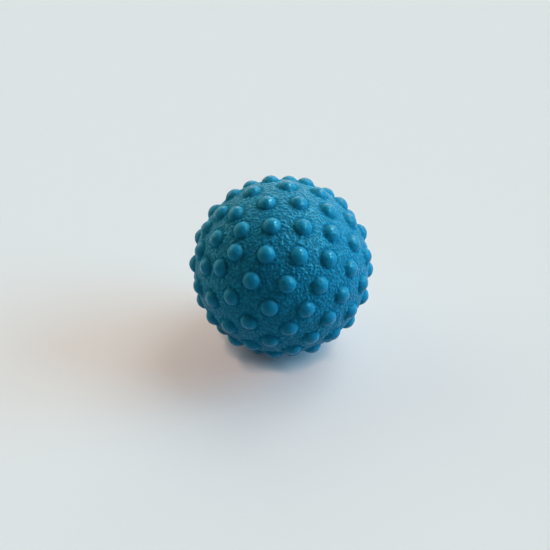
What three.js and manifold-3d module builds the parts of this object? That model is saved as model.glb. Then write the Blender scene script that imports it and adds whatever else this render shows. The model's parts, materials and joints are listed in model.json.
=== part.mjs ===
// Nubbed massage ball. A hollow vinyl skin carries rounded nubs in rings about its mould axis. At the far
// pole of that axis a flanged bush sits in a neck inside the skin, closed by a push-in plug.
// Millimetres, +Z up. The ball stands on the floor on three nubs, with the plug side low and turned away.
import * as THREE from "three";
import { ConvexGeometry } from "three/addons/geometries/ConvexGeometry.js";
import { ConvexHull } from "three/addons/math/ConvexHull.js";
import { mergeVertices } from "three/addons/utils/BufferGeometryUtils.js";
import Module from "manifold-3d";

// Skin: a hollow ball, measured between the nubs
const SKIN_RADIUS = 33.0;
const SKIN_WALL = 2.6;

// Nubs: part of a sphere standing out of the skin, with a fillet round its foot
const NUB_DOME_RADIUS = 3.71;
const NUB_HEIGHT = 2.0;
const NUB_FILLET = 0.6;

// Nubs in each ring, from the pole to the ring beside the equator. The other half mirrors them
const RING_COUNTS = [1, 8, 12, 16, 20];

// How the ball lies: the way down to the floor, told from the first pole and the rings' common meridian,
// and the bearing from +X that the first pole leans to
const DOWN_POLAR_DEGREES = 128;
const DOWN_MERIDIAN_DEGREES = 213;
const POLE_BEARING_DEGREES = 203;

// How far the weight presses each nub that the ball stands on
const NUB_FLATTENING = 0.1;

// Valve bush: flange level with the skin, sleeve with one locking rib, bore and a recess for the plug's head
const FLANGE_RADIUS = 5.2;
const FLANGE_THICKNESS = 1.7;
const SLEEVE_RADIUS = 3.8;
const SLEEVE_LENGTH = 7.4;
const RIB_HEIGHT = 0.6;
const RIB_WIDTH = 1.4;
const BORE_RADIUS = 1.5;
const RECESS_DEPTH = 1.4;

// Neck inside the skin, round the sleeve
const NECK_WALL = 2.2;

// Valve plug: disc head and tapered shank
const HEAD_RADIUS = 2.6;
const HEAD_ROUNDING = 0.3;
const SHANK_TIP_RADIUS = 0.7;
const SHANK_TAPER_LENGTH = 2.0;
const SHANK_REACH = 1.0;

// Clearance between a piece and its seat
const SEAT_GAP = 0.3;

// Fineness of the faces
const NUB_SIDES = 10;
const DOME_STEPS = 3;
const SKIN_DETAIL = 7;
const CAVITY_DETAIL = 5;
const ROUND_SIDES = 32;
const ARC_STEPS = 4;

const VINYL_BLUE = 0x0f6f9c;
const PLUG_BLUE = 0x0b557c;

const wasm = await Module();
wasm.setup();

// A solid of a closed geometry. Triangles that shrink to a line, as on a turned shape's axis, are left out
function solidOf(geometry) {
  const bare = geometry.clone();
  bare.deleteAttribute("normal");
  bare.deleteAttribute("uv");
  const merged = mergeVertices(bare);
  const corners = merged.index.array;
  const triangles = [];
  for (let i = 0; i < corners.length; i += 3) {
    const [a, b, c] = corners.slice(i, i + 3);
    if (a !== b && b !== c && c !== a) {
      triangles.push(a, b, c);
    }
  }
  const vertProperties = new Float32Array(merged.attributes.position.array);
  return new wasm.Manifold(new wasm.Mesh({ numProp: 3, vertProperties, triVerts: new Uint32Array(triangles) }));
}

function geometryOf(solid) {
  const mesh = solid.getMesh();
  const geometry = new THREE.BufferGeometry();
  geometry.setAttribute("position", new THREE.BufferAttribute(mesh.vertProperties, 3));
  geometry.setIndex(new THREE.BufferAttribute(mesh.triVerts, 1));
  geometry.computeVertexNormals();
  return geometry;
}

// A profile of [distance from the axis, height] turned about Z
function turned(profile) {
  const points = profile.map(([radius, height]) => new THREE.Vector2(radius, height));
  return new THREE.LatheGeometry(points, ROUND_SIDES).rotateX(Math.PI / 2);
}

// Points of a circular arc in a profile, from one angle to another about a centre on the axis
function arc(centreHeight, radius, fromAngle, toAngle) {
  return Array.from({ length: ARC_STEPS + 1 }, (_, step) => {
    const angle = THREE.MathUtils.lerp(fromAngle, toAngle, step / ARC_STEPS);
    return [radius * Math.sin(angle), centreHeight + radius * Math.cos(angle)];
  });
}

function direction(polar, meridian) {
  const reach = Math.sin(polar);
  return new THREE.Vector3(reach * Math.cos(meridian), reach * Math.sin(meridian), Math.cos(polar));
}

// Where the nubs stand: rings at even steps from pole to pole, with the equator halfway between two rings.
// Every ring starts on one common meridian, and the valve has the place of the last pole's nub
function nubDirections() {
  const ringStep = Math.PI / 2 / (RING_COUNTS.length - 0.5);
  const directions = [];
  RING_COUNTS.forEach((count, ring) => {
    for (let i = 0; i < count; i += 1) {
      const meridian = (2 * Math.PI * i) / count;
      directions.push(direction(ring * ringStep, meridian));
      if (ring > 0) {
        directions.push(direction(Math.PI - ring * ringStep, meridian));
      }
    }
  });
  return directions;
}

// Nub profile about its own axis. The fillet's arc touches the dome at domeAngle and the skin at footAngle,
// both seen from the ball's centre
const domeCentre = SKIN_RADIUS + NUB_HEIGHT - NUB_DOME_RADIUS;
const filletCentre = SKIN_RADIUS + NUB_FILLET;
const centresApart = NUB_DOME_RADIUS + NUB_FILLET;
const footAngle = Math.acos(
  (filletCentre ** 2 + domeCentre ** 2 - centresApart ** 2) / (2 * filletCentre * domeCentre),
);
const domeSweep = Math.atan2(
  filletCentre * Math.sin(footAngle),
  filletCentre * Math.cos(footAngle) - domeCentre,
);

// Angle from the nub's axis, seen from the ball's centre, of a point that far round the dome
function angleOnDome(sweep) {
  return Math.atan2(NUB_DOME_RADIUS * Math.sin(sweep), domeCentre + NUB_DOME_RADIUS * Math.cos(sweep));
}

const domeAngle = angleOnDome(domeSweep);

// Distance from the ball's centre to its outer face, at an angle from the nearest nub's axis
function outerReach(angle) {
  if (angle >= footAngle) {
    return SKIN_RADIUS;
  }
  if (angle > domeAngle) {
    const turn = footAngle - angle;
    return filletCentre * Math.cos(turn) - Math.sqrt(NUB_FILLET ** 2 - (filletCentre * Math.sin(turn)) ** 2);
  }
  return domeCentre * Math.cos(angle) + Math.sqrt(NUB_DOME_RADIUS ** 2 - (domeCentre * Math.sin(angle)) ** 2);
}

// Directions of the skin's corner points: each nub's tip and rings, and an even net between the nubs
function skinDirections(nubs) {
  const ringAngles = [];
  for (let step = 1; step <= DOME_STEPS; step += 1) {
    ringAngles.push(angleOnDome((domeSweep * step) / DOME_STEPS));
  }
  ringAngles.push(footAngle);
  const points = [];
  for (const nub of nubs) {
    const upright = new THREE.Quaternion().setFromUnitVectors(new THREE.Vector3(0, 0, 1), nub);
    points.push(nub.clone());
    ringAngles.forEach((angle, ring) => {
      for (let side = 0; side < NUB_SIDES; side += 1) {
        const meridian = (2 * Math.PI * (side + ring / 2)) / NUB_SIDES;
        points.push(direction(angle, meridian).applyQuaternion(upright));
      }
    });
  }
  const net = new THREE.IcosahedronGeometry(1, SKIN_DETAIL);
  net.deleteAttribute("normal");
  net.deleteAttribute("uv");
  const corners = mergeVertices(net).attributes.position;
  const clearOfNub = footAngle + (footAngle - domeAngle);
  for (let i = 0; i < corners.count; i += 1) {
    const point = new THREE.Vector3().fromBufferAttribute(corners, i).normalize();
    if (nubs.every((nub) => point.angleTo(nub) > clearOfNub)) {
      points.push(point);
    }
  }
  return points;
}

// Outer face: the hull of the directions ties them into triangles, and each corner moves out to its height
function outerSkin(nubs) {
  const geometry = new ConvexGeometry(skinDirections(nubs));
  const corners = geometry.attributes.position;
  const point = new THREE.Vector3();
  for (let i = 0; i < corners.count; i += 1) {
    point.fromBufferAttribute(corners, i).normalize();
    const nearest = Math.min(...nubs.map((nub) => point.angleTo(nub)));
    point.multiplyScalar(outerReach(nearest));
    corners.setXYZ(i, point.x, point.y, point.z);
  }
  return geometry;
}

// The face of the nubs' hull that the way down passes through: its nubs carry the ball
function carryingFace(nubs, down) {
  const faces = new ConvexHull().setFromPoints(nubs).faces;
  const below = faces.filter((face) => face.normal.dot(down) > 0);
  const distance = (face) => face.constant / face.normal.dot(down);
  return below.reduce((best, face) => (distance(face) < distance(best) ? face : best));
}

// Heights along the valve's axis, from the ball's centre
const flangeBottom = SKIN_RADIUS - FLANGE_THICKNESS;
const sleeveBottom = flangeBottom - SLEEVE_LENGTH;
const ribMiddle = (flangeBottom + sleeveBottom) / 2;
const recessFloor = SKIN_RADIUS - RECESS_DEPTH;
const headBottom = recessFloor + SEAT_GAP;
const shankRadius = BORE_RADIUS - SEAT_GAP;
const shankTip = sleeveBottom - SHANK_REACH;

// Outside of the bush from its inner end to its flange, or the hole for it when grown by a clearance
function bushOutside(grow) {
  return [
    [SLEEVE_RADIUS + grow, sleeveBottom],
    [SLEEVE_RADIUS + grow, ribMiddle - RIB_WIDTH / 2 - grow],
    [SLEEVE_RADIUS + RIB_HEIGHT + grow, ribMiddle - grow],
    [SLEEVE_RADIUS + RIB_HEIGHT + grow, ribMiddle + grow],
    [SLEEVE_RADIUS + grow, ribMiddle + RIB_WIDTH / 2 + grow],
    [SLEEVE_RADIUS + grow, flangeBottom - grow],
    [FLANGE_RADIUS + grow, flangeBottom - grow],
  ];
}

function valveBush() {
  const recessRadius = HEAD_RADIUS + SEAT_GAP;
  const outerFace = arc(
    0,
    SKIN_RADIUS,
    Math.asin(FLANGE_RADIUS / SKIN_RADIUS),
    Math.asin(recessRadius / SKIN_RADIUS),
  );
  const inside = [
    [recessRadius, recessFloor],
    [BORE_RADIUS, recessFloor],
    [BORE_RADIUS, sleeveBottom],
  ];
  const outside = bushOutside(0);
  return turned([...outside, ...outerFace, ...inside, outside[0]]);
}

function valvePlug() {
  const headEdge = SKIN_RADIUS - HEAD_ROUNDING;
  return turned([
    [0, shankTip],
    [SHANK_TIP_RADIUS, shankTip],
    [shankRadius, shankTip + SHANK_TAPER_LENGTH],
    [shankRadius, headBottom],
    [HEAD_RADIUS, headBottom],
    [HEAD_RADIUS, headEdge - HEAD_ROUNDING],
    [HEAD_RADIUS - HEAD_ROUNDING, headEdge],
    [0, headEdge],
  ]);
}

// Skin with its cavity, the neck for the bush at the far pole, and flats where it stands
function ballSkin(nubs, down, floorDistance) {
  const cavity = new THREE.IcosahedronGeometry(SKIN_RADIUS - SKIN_WALL, CAVITY_DETAIL);
  const neckRadius = SLEEVE_RADIUS + RIB_HEIGHT + NECK_WALL;
  const neckTop = SKIN_RADIUS - SKIN_WALL / 2;
  const neck = turned([
    [0, sleeveBottom],
    [neckRadius, sleeveBottom],
    [neckRadius, neckTop],
    [0, neckTop],
  ]);
  const holeSides = bushOutside(SEAT_GAP);
  const beyondNeck = sleeveBottom - SLEEVE_LENGTH;
  const beyondSkin = SKIN_RADIUS + NUB_HEIGHT;
  const hole = turned([
    [0, beyondNeck],
    [SLEEVE_RADIUS + SEAT_GAP, beyondNeck],
    ...holeSides.slice(1),
    [FLANGE_RADIUS + SEAT_GAP, beyondSkin],
    [0, beyondSkin],
  ]);
  const floor = new THREE.BoxGeometry(2 * SKIN_RADIUS, 2 * SKIN_RADIUS, SKIN_RADIUS);
  floor.translate(0, 0, floorDistance + SKIN_RADIUS / 2);
  floor.applyQuaternion(new THREE.Quaternion().setFromUnitVectors(new THREE.Vector3(0, 0, 1), down));
  neck.rotateX(Math.PI);
  hole.rotateX(Math.PI);
  const shell = solidOf(outerSkin(nubs)).subtract(solidOf(cavity));
  const withNeck = shell.add(solidOf(neck)).subtract(solidOf(hole));
  return geometryOf(withNeck.subtract(solidOf(floor)));
}

function piece(name, geometry, color, roughness) {
  const material = new THREE.MeshStandardMaterial({ color, roughness, metalness: 0 });
  const mesh = new THREE.Mesh(geometry, material);
  mesh.name = name;
  return mesh;
}

// Ball in its mould's own frame, with the first pole at +Z
const nubs = nubDirections();
const towardsFloor = direction(
  THREE.MathUtils.degToRad(DOWN_POLAR_DEGREES),
  THREE.MathUtils.degToRad(DOWN_MERIDIAN_DEGREES),
);
const face = carryingFace(nubs, towardsFloor);
const down = face.normal.clone();
const standHeight = domeCentre * face.constant + NUB_DOME_RADIUS - NUB_FLATTENING;

const valve = new THREE.Group();
valve.rotation.x = Math.PI;
valve.add(piece("valve_bush", valveBush(), VINYL_BLUE, 0.6));
valve.add(piece("valve_plug", valvePlug(), PLUG_BLUE, 0.5));

const ball = new THREE.Group();
ball.add(piece("ball_skin", ballSkin(nubs, down, standHeight), VINYL_BLUE, 0.55));
ball.add(valve);

// The ball turned to stand on its three nubs, with its first pole leaning to its bearing
const up = new THREE.Vector3(0, 0, 1);
const stand = new THREE.Quaternion().setFromUnitVectors(down, up.clone().negate());
const pole = up.clone().applyQuaternion(stand);
const turn = THREE.MathUtils.degToRad(POLE_BEARING_DEGREES) - Math.atan2(pole.y, pole.x);
ball.quaternion.setFromAxisAngle(up, turn).multiply(stand);
ball.position.z = standHeight;

const massageBall = new THREE.Group();
massageBall.add(ball);

export default massageBall;
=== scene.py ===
"""Nubbed massage ball on a pale table: grained vinyl skin with smooth nubs, a valve bush and its plug."""
import json
import math
from collections import namedtuple
from functools import partial

import bpy
import numpy as np
from mathutils import Matrix, Vector


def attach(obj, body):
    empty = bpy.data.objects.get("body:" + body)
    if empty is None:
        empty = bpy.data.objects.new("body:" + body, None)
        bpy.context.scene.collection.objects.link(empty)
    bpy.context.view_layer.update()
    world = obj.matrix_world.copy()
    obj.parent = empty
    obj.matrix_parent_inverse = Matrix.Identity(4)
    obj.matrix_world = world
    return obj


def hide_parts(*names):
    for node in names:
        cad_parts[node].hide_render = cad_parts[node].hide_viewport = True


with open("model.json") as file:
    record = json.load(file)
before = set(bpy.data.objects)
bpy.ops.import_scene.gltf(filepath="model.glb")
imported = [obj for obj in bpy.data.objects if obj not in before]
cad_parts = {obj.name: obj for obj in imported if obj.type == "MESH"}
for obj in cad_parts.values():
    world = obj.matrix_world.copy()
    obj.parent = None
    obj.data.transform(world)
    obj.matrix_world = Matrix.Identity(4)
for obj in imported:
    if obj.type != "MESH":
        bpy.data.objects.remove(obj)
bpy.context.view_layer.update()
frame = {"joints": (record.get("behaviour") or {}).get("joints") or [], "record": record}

MM = 0.001
QUARTER_TURN = math.pi / 2

# Skin and nubs, the sizes of the solids but for a tighter foot round each nub and a slight inset
SKIN_RADIUS = 33.0 * MM
SKIN_WALL = 2.6 * MM
NUB_DOME_RADIUS = 3.71 * MM
NUB_HEIGHT = 2.0 * MM
NUB_FILLET = 0.3 * MM
NUB_FLATTENING = 0.1 * MM
SURFACE_INSET = 0.03 * MM

# Nubs in each ring, from the first pole to the equator
RING_COUNTS = (1, 8, 12, 16, 20)

# The resting nub that the rings are turned by, and its meridian in the pattern
TURNING_NUB = "rest_nub_right"
TURNING_NUB_MERIDIAN = math.radians(210.0)

# Valve, measured along its axis
FLANGE_RADIUS = 5.2 * MM
FLANGE_THICKNESS = 1.7 * MM
SLEEVE_RADIUS = 3.8 * MM
SLEEVE_LENGTH = 7.4 * MM
BORE_RADIUS = 1.5 * MM
RECESS_DEPTH = 1.4 * MM
NECK_RADIUS = 6.6 * MM
HEAD_RADIUS = 2.6 * MM
SHANK_RADIUS = 1.2 * MM
SHANK_TIP_RADIUS = 0.7 * MM
SHANK_TAPER_LENGTH = 2.0 * MM
SHANK_REACH = 1.0 * MM
SEAT_GAP = 0.3 * MM
BOND_LINE = 0.06 * MM
EDGE_ROUNDING = 0.2 * MM

# Directions in the valve's profiles, in degrees from straight out of the ball towards the rim
OUTWARD = 0.0
TO_RIM = 90.0
INWARD = 180.0
TO_AXIS = -90.0

# Where a rounded edge stops because it meets a slope: the skin's round hole, the flange and the shank's tip
HOLE_EDGE_START = -20.0
FLANGE_EDGE_END = 8.0
TIP_EDGE_END = 110.0

# Moulded leather grain: wrinkles rise between the low and the high level of a winding noise
GRAIN_CELL = 0.95 * MM
GRAIN_DEPTH = 0.18 * MM
GRAIN_ON_NUBS = 0.3
GRAIN_LOW = 0.42
GRAIN_HIGH = 0.70
GRAIN_WINDING = 0.6

# Share of a nub's dome, from its tip, that has a nub's finish in full
NUB_FINISH_SHARE = 0.9

# Fineness of the skin's outer face, and of its inside, which is finer towards the valve's axis
SKIN_SPACING = 0.4 * MM
ROW_STAGGER = 0.5
LEAST_SKIN_SIDES = 6
INSIDE_SPACING = 3.0 * MM
AXIS_SPACING = 0.6 * MM
SPACING_GROWTH = 0.2
LEAST_INSIDE_SIDES = 12

# Fineness of the valve's pieces
ROUND_SIDES = 96
FLANGE_FACE_POINTS = 5
INNER_EDGE_STEPS = 3
EDGE_STEPS = 4
HEAD_EDGE_STEPS = 5

# A tiny part of a turn, which settles ties between the points of two rings
RING_OFFSET = 1e-7

# Edges sharper than this are not shaded as one curve
SHARP_EDGE = math.radians(50.0)

# Discs that the skin is laid out on: its two halves and its inside, as (centre, radius, turning sense)
MAP_DISCS = (((0.293, 0.293), 0.285, 1.0), ((0.707, 0.707), 0.285, -1.0), ((0.855, 0.145), 0.13, -1.0))

# Skin's colours: on the wrinkles, between them with painted shade, in the crease round each nub with darker
# painted shade, and how light a nub is between the painted shade and the wrinkles' blue
SKIN_BLUE = (0.011, 0.292, 0.508, 1.0)
SKIN_BLUE_VALLEY_SHADE = (0.006, 0.184, 0.324, 1.0)
SKIN_BLUE_CREASE_SHADE = (0.002, 0.060, 0.115, 1.0)
NUB_TINT = 0.66

# Vinyl's gloss
VINYL_GLOSS = 0.18
VINYL_GLOSS_TINT = (0.25, 0.95, 1.0, 1.0)

# Skin's roughness: rough between the wrinkles, polished along their tops
VALLEY_ROUGHNESS = 0.55
CREST_POLISH = 0.37
CREST_SHARPNESS = 2.6
NUB_ROUGHNESS = 0.24

# Fine relief on top of the moulded grain
GRAIN_BUMP = 0.12 * MM
BUMP_LOW = 0.36
BUMP_HIGH = 0.78
SPECK_SCALE = 1800.0
SPECK_DETAIL = 2.0
SPECK_HEIGHT = 0.15

# Clouding of the skin's colour and roughness
CLOUD_SCALE = 60.0
CLOUD_DETAIL = 3.0
CLOUD_STRENGTH = 0.3
CLOUD_ROUGHNESS = 0.2

# Crease round each nub, darker with painted shade in a thin line and rougher in a broad one
CREASE_WIDTH = 0.45 * MM
CREASE_SHADE = 0.3
CREASE_ROUGHNESS = 0.6
CREASE_SPREAD = 0.3

# Valve's vinyl
BUSH_BLUE = (0.010, 0.220, 0.385)
PLUG_BLUE = (0.008, 0.180, 0.320)
VALVE_DARK_SHARE = 0.8
VALVE_CLOUD_SCALE = 500.0
VALVE_CLOUD_DETAIL = 3.0
VALVE_ROUGHNESS = (0.42, 0.55)
VALVE_BUMP = 0.05 * MM
VALVE_BUMP_STRENGTH = 0.15

# Table, and the light that it shows by itself
TABLE_REACH = 3.0
TABLE_WHITE = (0.51, 0.55, 0.59, 1.0)
TABLE_ROUGHNESS = 0.7
TABLE_GLOSS = 0.0
TABLE_GLOW = (0.334, 0.259, 0.244)

# How that light fades close under the ball into a painted contact shadow, red first so that a painted blue
# bounce from the ball is left, and the bearing and elevation that it is open to
TABLE_SHADE_REACH = 8.0 * MM
TABLE_SHADE_POWERS = (4.4, 3.6, 2.7)
TABLE_OPEN_SIDE = (0.0, 50.0)

# Room beyond the table
ROOM_WHITE = (0.95, 0.97, 1.0, 1.0)
ROOM_LIGHT = 0.008
ROOM_SEEN = 0.75

# Windows round the table, with angles in degrees. The panes are bright parts that show only in the gloss
Window = namedtuple("Window", "name bearing elevation spread strength colour only_gloss", defaults=(False,))
PANE_WHITE = (0.85, 0.99, 1.0)
WINDOWS = (
    Window("window_right", bearing=6.0, elevation=24.0, spread=40.0, strength=2.75, colour=(0.32, 0.80, 1.0)),
    Window("window_high", bearing=38.0, elevation=54.0, spread=36.0, strength=1.25, colour=(0.9, 0.99, 0.96)),
    Window(
        "window_high_pane",
        bearing=38.0,
        elevation=53.0,
        spread=11.0,
        strength=2.6,
        colour=PANE_WHITE,
        only_gloss=True,
    ),
    Window(
        "window_right_pane",
        bearing=-14.0,
        elevation=46.0,
        spread=14.0,
        strength=3.0,
        colour=PANE_WHITE,
        only_gloss=True,
    ),
    Window(
        "window_behind_right",
        bearing=80.0,
        elevation=26.0,
        spread=60.0,
        strength=1.47,
        colour=(1.0, 0.933, 0.667),
    ),
    Window(
        "window_behind_left",
        bearing=150.0,
        elevation=19.0,
        spread=60.0,
        strength=1.242,
        colour=(1.0, 0.917, 0.667),
    ),
)

# Camera, fitted to the photograph
CAMERA_DISTANCE = 580.0 * MM
CAMERA_ELEVATION = math.radians(37.4)
CAMERA_ROLL = math.radians(0.5)
CAMERA_NEAREST = 10.0 * MM
PICTURE_SIDE = 550
PIXELS_PER_MM = 2.639
BALL_PIXEL = (281.4, 266.4)
SENSOR_WIDTH = 36.0


def named_row(rows, name):
    """The row of that name."""
    return next(row for row in rows if row["name"] == name)


# Where the ball lies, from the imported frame: the valve's axis and one of the nubs that it stands on
dome_centre = SKIN_RADIUS + NUB_HEIGHT - NUB_DOME_RADIUS
valve_axis = np.array(named_row(frame["joints"], "plug_pull")["axis"], float)
pole_axis = -valve_axis / np.linalg.norm(valve_axis)
turning_spot = np.array(named_row(frame["record"]["mounts"], TURNING_NUB)["pos_m"], float)
turning_side = turning_spot[:2] / dome_centre
turning_drop = math.sqrt(1.0 - turning_side @ turning_side)
turning_nub = np.array([*turning_side, -turning_drop])
ball_centre = np.array([0.0, 0.0, dome_centre * turning_drop + NUB_DOME_RADIUS - NUB_FLATTENING])


def mould_frame():
    """Columns are the pattern's first meridian, the one a quarter turn on, and the first pole."""
    across = turning_nub - (turning_nub @ pole_axis) * pole_axis
    across /= np.linalg.norm(across)
    beside = np.cross(pole_axis, across)
    first = math.cos(TURNING_NUB_MERIDIAN) * across - math.sin(TURNING_NUB_MERIDIAN) * beside
    return np.column_stack([first, np.cross(pole_axis, first), pole_axis])


mould = mould_frame()


def placed(points):
    """Points of the mould's own frame, set where the ball lies."""
    return ball_centre + np.asarray(points) @ mould.T


def meridians(count, turn=0.0):
    """Even angles round the mould's axis, turned by a part of a step."""
    return 2 * math.pi * (np.arange(count) + turn) / count


def directions(polar, meridian):
    """Unit directions in the mould's own frame, from angles off the first pole and round the axis."""
    reach = np.sin(polar)
    return np.stack([reach * np.cos(meridian), reach * np.sin(meridian), np.cos(polar)], axis=-1)


def nub_directions():
    """Rings at even steps from pole to pole, with the equator midway between two of them.
    The valve has the place of the last pole's nub."""
    ring_step = QUARTER_TURN / (len(RING_COUNTS) - 0.5)
    found = []
    for ring, count in enumerate(RING_COUNTS):
        meridian = meridians(count)
        found.append(directions(np.full(count, ring * ring_step), meridian))
        if ring > 0:
            found.append(directions(np.full(count, math.pi - ring * ring_step), meridian))
    return np.concatenate(found)


# Angles at the ball's centre, off a nub's axis, where its rounded foot ends and where its dome ends
nubs = nub_directions()
fillet_centre = SKIN_RADIUS + NUB_FILLET
foot_angle = math.acos(
    (fillet_centre**2 + dome_centre**2 - (NUB_DOME_RADIUS + NUB_FILLET) ** 2)
    / (2 * fillet_centre * dome_centre)
)
dome_sweep = math.atan2(
    fillet_centre * math.sin(foot_angle), fillet_centre * math.cos(foot_angle) - dome_centre
)
dome_angle = math.atan2(
    NUB_DOME_RADIUS * math.sin(dome_sweep), dome_centre + NUB_DOME_RADIUS * math.cos(dome_sweep)
)


def outer_reach(angle):
    """Distance from the ball's centre to its outer face, at an angle from the nearest nub's axis."""
    turn = foot_angle - angle
    fillet = fillet_centre * np.cos(turn) - np.sqrt(
        np.maximum(NUB_FILLET**2 - (fillet_centre * np.sin(turn)) ** 2, 0.0)
    )
    dome = dome_centre * np.cos(angle) + np.sqrt(
        np.maximum(NUB_DOME_RADIUS**2 - (dome_centre * np.sin(angle)) ** 2, 0.0)
    )
    return np.where(angle >= foot_angle, SKIN_RADIUS, np.where(angle > dome_angle, fillet, dome))


def smooth_step(low, high, value):
    """0 up to the low value, 1 from the high one on, and a smooth rise between them."""
    share = np.clip((value - low) / (high - low), 0.0, 1.0)
    return share * share * (3.0 - 2.0 * share)


def set_grain_noise(node):
    """The winding noise that the grain follows, the same for the mesh and for the material."""
    node.inputs["Scale"].default_value = SKIN_RADIUS / GRAIN_CELL
    node.inputs["Detail"].default_value = 0.0
    node.inputs["Distortion"].default_value = GRAIN_WINDING


def grain_heights(points):
    """Leather grain at unit directions: 1 along the tops of short winding wrinkles, 0 between them."""
    tree = bpy.data.node_groups.new("grain", "GeometryNodeTree")
    tree.interface.new_socket("Geometry", in_out="INPUT", socket_type="NodeSocketGeometry")
    tree.interface.new_socket("Geometry", in_out="OUTPUT", socket_type="NodeSocketGeometry")
    start = tree.nodes.new("NodeGroupInput")
    end = tree.nodes.new("NodeGroupOutput")
    winding = tree.nodes.new("ShaderNodeTexNoise")
    set_grain_noise(winding)
    place = tree.nodes.new("GeometryNodeInputPosition")
    store = tree.nodes.new("GeometryNodeStoreNamedAttribute")
    store.inputs["Name"].default_value = "grain"
    tree.links.new(place.outputs["Position"], winding.inputs["Vector"])
    tree.links.new(start.outputs["Geometry"], store.inputs["Geometry"])
    tree.links.new(winding.outputs["Fac"], store.inputs["Value"])
    tree.links.new(store.outputs["Geometry"], end.inputs["Geometry"])
    mesh = bpy.data.meshes.new("grain_points")
    mesh.from_pydata(points.tolist(), [], [])
    sample = bpy.data.objects.new("grain_points", mesh)
    bpy.context.scene.collection.objects.link(sample)
    sample.modifiers.new("grain", "NODES").node_group = tree
    found = sample.evaluated_get(bpy.context.evaluated_depsgraph_get())
    levels = np.empty(len(points), np.float32)
    found.data.attributes["grain"].data.foreach_get("value", levels)
    bpy.data.objects.remove(sample)
    bpy.data.meshes.remove(mesh)
    bpy.data.node_groups.remove(tree)
    return smooth_step(GRAIN_LOW, GRAIN_HIGH, levels.astype(float))


def ring_faces(rows):
    """Triangles between rings of points, each given as (first point, count, turn in steps).
    A count of 1 is a tip. Each edge of a ring goes to the next ring's point nearest to its middle."""
    faces = []
    for (start, count, turn), (next_start, next_count, next_turn) in zip(rows, rows[1:]):
        if count > 1:
            edge = np.arange(count)
            level = ((edge + 0.5 + turn) / count + RING_OFFSET) * next_count - next_turn - 0.5
            tip = np.ceil(level).astype(int) % next_count
            after = (edge + 1) % count
            faces.append(np.column_stack([start + edge, next_start + tip, start + after]))
        if next_count > 1:
            edge = np.arange(next_count)
            level = ((edge + 0.5 + next_turn) / next_count - RING_OFFSET) * count - turn - 0.5
            tip = (np.floor(level).astype(int) + 1) % count
            after = (edge + 1) % next_count
            faces.append(np.column_stack([start + tip, next_start + edge, next_start + after]))
    return np.concatenate(faces)


def mesh_object(name, points, faces, material):
    """A smooth piece of one material."""
    mesh = bpy.data.meshes.new(name)
    mesh.from_pydata(points.tolist(), [], faces.tolist())
    mesh.validate()
    mesh.polygons.foreach_set("use_smooth", np.ones(len(mesh.polygons), bool))
    mesh.set_sharp_from_angle(angle=SHARP_EDGE)
    mesh.materials.append(material)
    piece = bpy.data.objects.new(name, mesh)
    bpy.context.scene.collection.objects.link(piece)
    return piece


def valve_ring(radius, height, meridian):
    """Points round the valve's axis, from the distances off that axis and out from the ball's centre."""
    level = np.full(len(meridian), -height)
    return np.stack([radius * np.cos(meridian), radius * np.sin(meridian), level], axis=-1)


def lathe(name, profile, closed, material):
    """A piece turned about the valve's axis.
    Its profile has distances off that axis and out from the ball's centre."""
    rows = []
    points = []
    for radius, height in profile:
        count = ROUND_SIDES if radius > 0.0 else 1
        rows.append((sum(row[1] for row in rows), count, 0.0))
        points.append(valve_ring(radius, height, meridians(count)))
    if closed:
        rows.append(rows[0])
    return mesh_object(name, placed(np.concatenate(points)), ring_faces(rows), material)


def rounded_edge(radius, height, start, end, steps):
    """Points of a rounded edge in a profile, from its arc's centre and the directions it turns between."""
    points = []
    for angle in np.linspace(math.radians(start), math.radians(end), steps + 1):
        points.append((radius + EDGE_ROUNDING * math.sin(angle), height + EDGE_ROUNDING * math.cos(angle)))
    return points


def on_skin(radius):
    """A profile point on the skin's sphere, that far from the valve's axis."""
    return (radius, math.sqrt(SKIN_RADIUS**2 - radius**2))


flange_bottom = SKIN_RADIUS - FLANGE_THICKNESS
sleeve_bottom = flange_bottom - SLEEVE_LENGTH
recess_floor = SKIN_RADIUS - RECESS_DEPTH
recess_radius = HEAD_RADIUS + SEAT_GAP
hole_radius = FLANGE_RADIUS + BOND_LINE


def inside_profile():
    """From the skin's rim round the bush, down the neck, and back inside the wall to the first pole."""
    inner_radius = SKIN_RADIUS - SKIN_WALL
    rim = on_skin(hole_radius + EDGE_ROUNDING)
    profile = rounded_edge(rim[0], rim[1] - EDGE_ROUNDING, HOLE_EDGE_START, TO_AXIS, INNER_EDGE_STEPS)
    profile += [
        (hole_radius, flange_bottom - BOND_LINE),
        (SLEEVE_RADIUS + BOND_LINE, flange_bottom - BOND_LINE),
        (SLEEVE_RADIUS + BOND_LINE, sleeve_bottom),
        (NECK_RADIUS, sleeve_bottom),
    ]
    steps = int(math.pi * inner_radius / INSIDE_SPACING)
    for polar in np.linspace(math.asin(NECK_RADIUS / inner_radius), math.pi, steps):
        profile.append((inner_radius * math.sin(polar), inner_radius * math.cos(polar)))
    profile[-1] = (0.0, -inner_radius)
    return profile


def outside_polars():
    """Angles of the skin's outer rows off the first pole, to the equator and on to the hole for the bush.
    Also gives how many of the rows end at the equator."""
    rim_polar = math.pi - math.asin((hole_radius + EDGE_ROUNDING) / SKIN_RADIUS)
    half_rows = int(QUARTER_TURN * SKIN_RADIUS / SKIN_SPACING)
    lower_rows = int((rim_polar - QUARTER_TURN) * SKIN_RADIUS / SKIN_SPACING)
    upper = np.linspace(0.0, QUARTER_TURN, half_rows)
    lower = np.linspace(QUARTER_TURN, rim_polar, lower_rows)[1:]
    return np.concatenate([upper, lower]), half_rows


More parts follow.
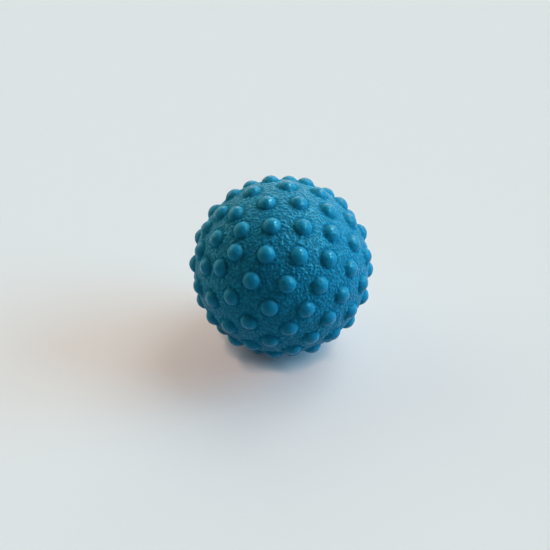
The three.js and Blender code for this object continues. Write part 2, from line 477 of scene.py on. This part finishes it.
def lay_out(mesh, row_of, meridian_of, reaches, last_rows):
    """Gives the skin a map of three discs. A face is on the first disc whose last row it does not pass,
    and a point's distance from that disc's middle goes by its row."""
    corners = np.empty(len(mesh.loops), np.int32)
    mesh.loops.foreach_get("vertex_index", corners)
    corners = corners.reshape(-1, 3)
    furthest = row_of[corners].max(axis=1)
    disc_of = np.searchsorted(last_rows, furthest)
    places = np.empty((*corners.shape, 2))
    for disc, (middle, radius, sense) in enumerate(MAP_DISCS):
        points = corners[disc_of == disc]
        reach = radius * reaches[disc][row_of[points]]
        turn = meridian_of[points]
        places[disc_of == disc] = np.stack(
            [middle[0] + reach * np.cos(turn), middle[1] + sense * reach * np.sin(turn)], axis=-1
        )
    mesh.uv_layers.new(name="OFBake").uv.foreach_set("vector", places.ravel())


def ball_skin(material):
    """The whole skin: outer face with nubs and grain, hole for the bush, neck and inner face."""
    polars, half_rows = outside_polars()
    rows = []
    polar_list = []
    meridian_list = []
    start = 0
    for row, polar in enumerate(polars):
        around = 2 * math.pi * SKIN_RADIUS * math.sin(polar)
        count = max(LEAST_SKIN_SIDES, round(around / SKIN_SPACING)) if row else 1
        turn = ROW_STAGGER * (row % 2)
        rows.append((start, count, turn))
        polar_list.append(np.full(count, polar))
        meridian_list.append(meridians(count, turn))
        start += count

    # Outer face: nubs, and grain sunk below them
    outward = directions(np.concatenate(polar_list), np.concatenate(meridian_list))
    nearest = np.arccos(np.clip((outward @ nubs.T).max(axis=1), -1.0, 1.0))
    grain = grain_heights(outward @ mould.T)
    on_nub = 1.0 - smooth_step(NUB_FINISH_SHARE * dome_angle, foot_angle, nearest)
    depth = GRAIN_DEPTH * (1.0 - on_nub * (1.0 - GRAIN_ON_NUBS))
    reach = outer_reach(nearest) - SURFACE_INSET - depth * (1.0 - grain)
    points = [outward * reach[:, None]]

    # Hole, neck and inner face
    for radius, height in inside_profile():
        spacing = min(INSIDE_SPACING, AXIS_SPACING + SPACING_GROWTH * radius)
        count = max(LEAST_INSIDE_SIDES, round(2 * math.pi * radius / spacing)) if radius > 0.0 else 1
        meridian = meridians(count)
        rows.append((start, count, 0.0))
        points.append(valve_ring(radius, height, meridian))
        meridian_list.append(meridian)
        start += count

    # The nubs that the ball stands on are pressed flat by the table
    spots = placed(np.concatenate(points))
    spots[:, 2] = np.maximum(spots[:, 2], 0.0)
    piece = mesh_object("ball_skin_moulded", spots, ring_faces(rows), material)

    # What the material needs at each point: how far it is on a nub, and how close to a nub's foot, where it
    # paints a thin line of shade
    crease = np.exp(-(((nearest - foot_angle) * SKIN_RADIUS / CREASE_WIDTH) ** 2))
    for name, outside in {"nub": on_nub, "crease": crease}.items():
        values = np.zeros(start)
        values[: len(outside)] = outside
        piece.data.attributes.new(name, "FLOAT", "POINT").data.foreach_set("value", values)

    # Map of the skin: each disc's reach by row, for the first half, the second half and the inside
    row_of = np.repeat(np.arange(len(rows)), [row[1] for row in rows])
    inside_rows = len(rows) - len(polars)
    from_pole = np.concatenate([polars / QUARTER_TURN, np.zeros(inside_rows)])
    to_hole = np.concatenate([2.0 - polars / QUARTER_TURN, np.zeros(inside_rows)])
    inwards = np.concatenate([np.ones(len(polars)), np.linspace(1.0, 0.0, inside_rows + 1)[1:]])
    last_rows = (half_rows - 1, len(polars) - 1, len(rows) - 1)
    lay_out(piece.data, row_of, np.concatenate(meridian_list), (from_pole, to_hole, inwards), last_rows)
    return piece


def valve_bush(material):
    """Flange level with the skin, recess for the plug's head, bore and sleeve."""
    inset = EDGE_ROUNDING
    edge = on_skin(FLANGE_RADIUS - inset)
    lip = on_skin(recess_radius + inset)
    profile = [(SLEEVE_RADIUS, sleeve_bottom), (SLEEVE_RADIUS, flange_bottom), (FLANGE_RADIUS, flange_bottom)]
    profile += rounded_edge(edge[0], edge[1] - inset, TO_RIM, FLANGE_EDGE_END, EDGE_STEPS)
    face = np.linspace(edge[0] - inset, lip[0] + inset, FLANGE_FACE_POINTS)
    profile += [on_skin(radius) for radius in face]
    profile += rounded_edge(lip[0], lip[1] - inset, OUTWARD, TO_AXIS, EDGE_STEPS)
    profile += rounded_edge(recess_radius - inset, recess_floor + inset, TO_RIM, INWARD, EDGE_STEPS)
    profile += rounded_edge(BORE_RADIUS + inset, recess_floor - inset, OUTWARD, TO_AXIS, EDGE_STEPS)
    profile += [(BORE_RADIUS, sleeve_bottom)]
    return lathe("valve_bush_moulded", profile, True, material)


def valve_plug(material):
    """Disc head with rounded edges, and a shank with a tapered tip."""
    inset = EDGE_ROUNDING
    head_bottom = recess_floor + SEAT_GAP
    head_top = SKIN_RADIUS - SEAT_GAP
    tip = sleeve_bottom - SHANK_REACH
    profile = [(0.0, tip)]
    profile += rounded_edge(SHANK_TIP_RADIUS - inset, tip + inset, INWARD, TIP_EDGE_END, EDGE_STEPS)
    profile += [(SHANK_RADIUS, tip + SHANK_TAPER_LENGTH)]
    profile += rounded_edge(SHANK_RADIUS + inset, head_bottom - inset, TO_AXIS, OUTWARD, INNER_EDGE_STEPS)
    profile += rounded_edge(HEAD_RADIUS - inset, head_bottom + inset, INWARD, TO_RIM, EDGE_STEPS)
    profile += rounded_edge(HEAD_RADIUS - inset, head_top - inset, TO_RIM, OUTWARD, HEAD_EDGE_STEPS)
    profile += [(0.0, head_top)]
    return lathe("valve_plug_moulded", profile, False, material)


def new_material(name):
    """A new material, with its nodes, its links and its shader."""
    material = bpy.data.materials.new(name)
    material.use_nodes = True
    nodes = material.node_tree.nodes
    return material, nodes, material.node_tree.links, nodes["Principled BSDF"]


def add_node(nodes, kind, **settings):
    """A shader node with its properties and input values set by name."""
    node = nodes.new(kind)
    for key, value in settings.items():
        if key in node.inputs:
            node.inputs[key].default_value = value
        else:
            setattr(node, key, value)
    return node


def math_node(nodes, links, operation, *values):
    """The result of an operation on values, each a number or another node's output."""
    node = add_node(nodes, "ShaderNodeMath", operation=operation)
    for socket, value in zip(node.inputs, values):
        if isinstance(value, float):
            socket.default_value = value
        else:
            links.new(value, socket)
    return node.outputs["Value"]


def ranged(nodes, links, value, source=(0.0, 1.0), target=(0.0, 1.0), kind="LINEAR"):
    """A value taken from one range to another, and held at the ends."""
    node = add_node(nodes, "ShaderNodeMapRange", interpolation_type=kind)
    for name, limits in (("From", source), ("To", target)):
        node.inputs[name + " Min"].default_value = limits[0]
        node.inputs[name + " Max"].default_value = limits[1]
    links.new(value, node.inputs["Value"])
    return node.outputs["Result"]


def mixed(nodes, links, factor, first, second):
    """A colour between two, each a colour or another node's output."""
    node = add_node(nodes, "ShaderNodeMix", data_type="RGBA")
    for name, colour in (("A", first), ("B", second)):
        if isinstance(colour, tuple):
            node.inputs[name].default_value = colour
        else:
            links.new(colour, node.inputs[name])
    links.new(factor, node.inputs["Factor"])
    return node.outputs["Result"]


def set_gloss(shader):
    """The vinyl's weak gloss, tinted by its blue."""
    shader.inputs["Specular IOR Level"].default_value = VINYL_GLOSS
    shader.inputs["Specular Tint"].default_value = VINYL_GLOSS_TINT


def skin_material():
    """Satin blue vinyl: rough and darker with painted shade between the wrinkles, polished on their tops,
    smooth on the nubs, with painted shade in the creases round them.
    """
    material, nodes, links, shader = new_material("skin_vinyl")
    maths = partial(math_node, nodes, links)
    place = add_node(nodes, "ShaderNodeTexCoord").outputs["Object"]
    nub = add_node(nodes, "ShaderNodeAttribute", attribute_name="nub").outputs["Fac"]
    crease = add_node(nodes, "ShaderNodeAttribute", attribute_name="crease").outputs["Fac"]

    def noise(scale, detail):
        node = add_node(nodes, "ShaderNodeTexNoise", Scale=scale, Detail=detail)
        links.new(place, node.inputs["Vector"])
        return node.outputs["Fac"]

    # Wrinkles of the grain, at the same places as in the mesh
    from_centre = add_node(nodes, "ShaderNodeVectorMath", operation="SUBTRACT")
    links.new(place, from_centre.inputs[0])
    from_centre.inputs[1].default_value = ball_centre
    outward = add_node(nodes, "ShaderNodeVectorMath", operation="NORMALIZE")
    links.new(from_centre.outputs["Vector"], outward.inputs[0])
    winding = add_node(nodes, "ShaderNodeTexNoise")
    set_grain_noise(winding)
    links.new(outward.outputs["Vector"], winding.inputs["Vector"])
    crest = ranged(nodes, links, winding.outputs["Fac"], source=(GRAIN_LOW, GRAIN_HIGH), kind="SMOOTHSTEP")
    ridge = ranged(nodes, links, winding.outputs["Fac"], source=(BUMP_LOW, BUMP_HIGH))
    cloud = maths("MULTIPLY_ADD", noise(CLOUD_SCALE, CLOUD_DETAIL), CLOUD_STRENGTH, -CLOUD_STRENGTH / 2)

    # Roughness: wrinkles, then nubs, then the creases round them
    polished = maths("POWER", crest, CREST_SHARPNESS)
    rough = maths("MULTIPLY_ADD", polished, -CREST_POLISH, VALLEY_ROUGHNESS)
    off_nub = maths("SUBTRACT", 1.0, nub)
    rough = maths("ADD", maths("MULTIPLY", rough, off_nub), maths("MULTIPLY", nub, NUB_ROUGHNESS))
    foot = maths("POWER", crease, CREASE_SPREAD)
    rough = maths("MULTIPLY_ADD", foot, CREASE_ROUGHNESS, rough)
    rough = maths("ADD", rough, maths("MULTIPLY", cloud, CLOUD_ROUGHNESS))
    links.new(rough, shader.inputs["Roughness"])

    # Colour: light on the wrinkles, even on the nubs, with painted shade between the wrinkles and darker
    # painted shade in the creases
    light = maths("MULTIPLY_ADD", maths("SUBTRACT", NUB_TINT, crest), nub, crest)
    tint = mixed(nodes, links, maths("ADD", light, cloud), SKIN_BLUE_VALLEY_SHADE, SKIN_BLUE)
    shade = mixed(nodes, links, maths("MULTIPLY", crease, CREASE_SHADE), tint, SKIN_BLUE_CREASE_SHADE)
    links.new(shade, shader.inputs["Base Color"])

    # Fine relief: wrinkles, fainter on the nubs, and specks
    kept = maths("MULTIPLY_ADD", nub, GRAIN_ON_NUBS - 1.0, 1.0)
    specks = maths("MULTIPLY", noise(SPECK_SCALE, SPECK_DETAIL), SPECK_HEIGHT)
    height = maths("ADD", maths("MULTIPLY", ridge, kept), specks)
    bump = add_node(nodes, "ShaderNodeBump", Strength=1.0, Distance=GRAIN_BUMP)
    links.new(height, bump.inputs["Height"])
    links.new(bump.outputs["Normal"], shader.inputs["Normal"])
    set_gloss(shader)
    return material


def smooth_vinyl(name, colour):
    """Smooth satin vinyl of the valve, with faint clouding and fine moulding marks."""
    material, nodes, links, shader = new_material(name)
    place = add_node(nodes, "ShaderNodeTexCoord").outputs["Object"]
    noise = add_node(nodes, "ShaderNodeTexNoise", Scale=VALVE_CLOUD_SCALE, Detail=VALVE_CLOUD_DETAIL)
    links.new(place, noise.inputs["Vector"])
    cloud = noise.outputs["Fac"]
    dark = (*[VALVE_DARK_SHARE * part for part in colour], 1.0)
    links.new(mixed(nodes, links, cloud, dark, (*colour, 1.0)), shader.inputs["Base Color"])
    links.new(ranged(nodes, links, cloud, target=VALVE_ROUGHNESS), shader.inputs["Roughness"])
    bump = add_node(nodes, "ShaderNodeBump", Strength=VALVE_BUMP_STRENGTH, Distance=VALVE_BUMP)
    links.new(cloud, bump.inputs["Height"])
    links.new(bump.outputs["Normal"], shader.inputs["Normal"])
    set_gloss(shader)
    return material


def directly_seen(nodes, links):
    """1 for what the camera sees, straight or in a gloss or through a clear piece, and 0 for other light."""
    ray = add_node(nodes, "ShaderNodeLightPath")
    seen = ray.outputs["Is Camera Ray"]
    for kind in ("Is Glossy Ray", "Is Transmission Ray"):
        seen = math_node(nodes, links, "MAXIMUM", seen, ray.outputs[kind])
    return seen


def towards(bearing, elevation):
    """The direction of a bearing, counted from +X towards +Y, at an elevation above the table."""
    bearing = math.radians(bearing)
    elevation = math.radians(elevation)
    level = math.cos(elevation)
    return Vector((level * math.cos(bearing), level * math.sin(bearing), math.sin(elevation)))


def table_paint_and_glow():
    """Pale paint that shows a little light of its own, so shadows stay light.
    That light fades close under the ball into a painted contact shadow, more on the side away from the window
    at the right, and its red fades first, which leaves a painted blue bounce from the ball."""
    material, nodes, links, shader = new_material("table_paint_and_glow")
    maths = partial(math_node, nodes, links)
    shader.inputs["Base Color"].default_value = TABLE_WHITE
    shader.inputs["Roughness"].default_value = TABLE_ROUGHNESS
    shader.inputs["Specular IOR Level"].default_value = TABLE_GLOSS
    # Painted contact shadow: the table's own light dims where the ball is close above, red most
    open_side = add_node(nodes, "ShaderNodeCombineXYZ")
    for socket, part in zip(open_side.inputs, towards(*TABLE_OPEN_SIDE)):
        socket.default_value = part
    openness = add_node(nodes, "ShaderNodeAmbientOcclusion", Distance=TABLE_SHADE_REACH)
    links.new(open_side.outputs["Vector"], openness.inputs["Normal"])
    glow = add_node(nodes, "ShaderNodeCombineColor")
    for socket, level, power in zip(glow.inputs, TABLE_GLOW, TABLE_SHADE_POWERS):
        links.new(maths("MULTIPLY", maths("POWER", openness.outputs["AO"], power), level), socket)
    links.new(glow.outputs["Color"], shader.inputs["Emission Color"])
    links.new(directly_seen(nodes, links), shader.inputs["Emission Strength"])
    return material


def table_top():
    """A large flat table under the ball."""
    mesh = bpy.data.meshes.new("table")
    corners = [(x, y, 0.0) for x, y in ((-1, -1), (1, -1), (1, 1), (-1, 1))]
    mesh.from_pydata([tuple(TABLE_REACH * c for c in corner) for corner in corners], [], [(0, 1, 2, 3)])
    mesh.materials.append(table_paint_and_glow())
    table = bpy.data.objects.new("table", mesh)
    bpy.context.scene.collection.objects.link(table)


def windows():
    """Soft lamps far away, one for each window and pane."""
    for window in WINDOWS:
        lamp = bpy.data.lights.new(window.name, "SUN")
        lamp.angle = math.radians(window.spread)
        lamp.energy = window.strength
        lamp.color = window.colour
        lamp_object = bpy.data.objects.new(window.name, lamp)
        facing = towards(window.bearing, window.elevation)
        lamp_object.rotation_euler = facing.to_track_quat("Z", "Y").to_euler()
        lamp_object.visible_diffuse = not window.only_gloss
        bpy.context.scene.collection.objects.link(lamp_object)


def room():
    """A pale room that is seen beyond the table and hardly lights it."""
    world = bpy.data.worlds.new("room")
    world.use_nodes = True
    nodes = world.node_tree.nodes
    links = world.node_tree.links
    background = nodes["Background"]
    background.inputs["Color"].default_value = ROOM_WHITE
    strength = ranged(nodes, links, directly_seen(nodes, links), target=(ROOM_LIGHT, ROOM_SEEN))
    links.new(strength, background.inputs["Strength"])
    bpy.context.scene.world = world


def camera():
    """Looks along +Y and down, turned so that the ball's centre falls on its pixel."""
    back = Vector((0.0, -math.cos(CAMERA_ELEVATION), math.sin(CAMERA_ELEVATION)))
    up = Vector((0.0, math.sin(CAMERA_ELEVATION), math.cos(CAMERA_ELEVATION)))
    centre = Vector(ball_centre)
    spot = centre + back * CAMERA_DISTANCE
    right_of_middle = (BALL_PIXEL[0] - PICTURE_SIDE / 2) / PIXELS_PER_MM * MM
    above_middle = (PICTURE_SIDE / 2 - BALL_PIXEL[1]) / PIXELS_PER_MM * MM
    target = centre - Vector((right_of_middle, 0.0, 0.0)) - up * above_middle
    turn = (spot - target).to_track_quat("Z", "Y").to_matrix().to_4x4()
    data = bpy.data.cameras.new("camera")
    data.sensor_width = SENSOR_WIDTH
    data.lens = SENSOR_WIDTH / PICTURE_SIDE * PIXELS_PER_MM / MM * CAMERA_DISTANCE
    data.clip_start = CAMERA_NEAREST
    seen = bpy.data.objects.new("camera", data)
    seen.matrix_world = Matrix.Translation(spot) @ turn @ Matrix.Rotation(CAMERA_ROLL, 4, "Z")
    bpy.context.scene.collection.objects.link(seen)
    bpy.context.scene.camera = seen


bpy.context.scene.view_settings.view_transform = "Standard"
camera()
skin = ball_skin(skin_material())
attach(skin, "ball")
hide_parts("ball_skin")
bush = valve_bush(smooth_vinyl("bush_vinyl", BUSH_BLUE))
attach(bush, "ball")
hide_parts("valve_bush")
plug = valve_plug(smooth_vinyl("plug_vinyl", PLUG_BLUE))
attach(plug, "plug")
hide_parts("valve_plug")
table_top()
windows()
room()
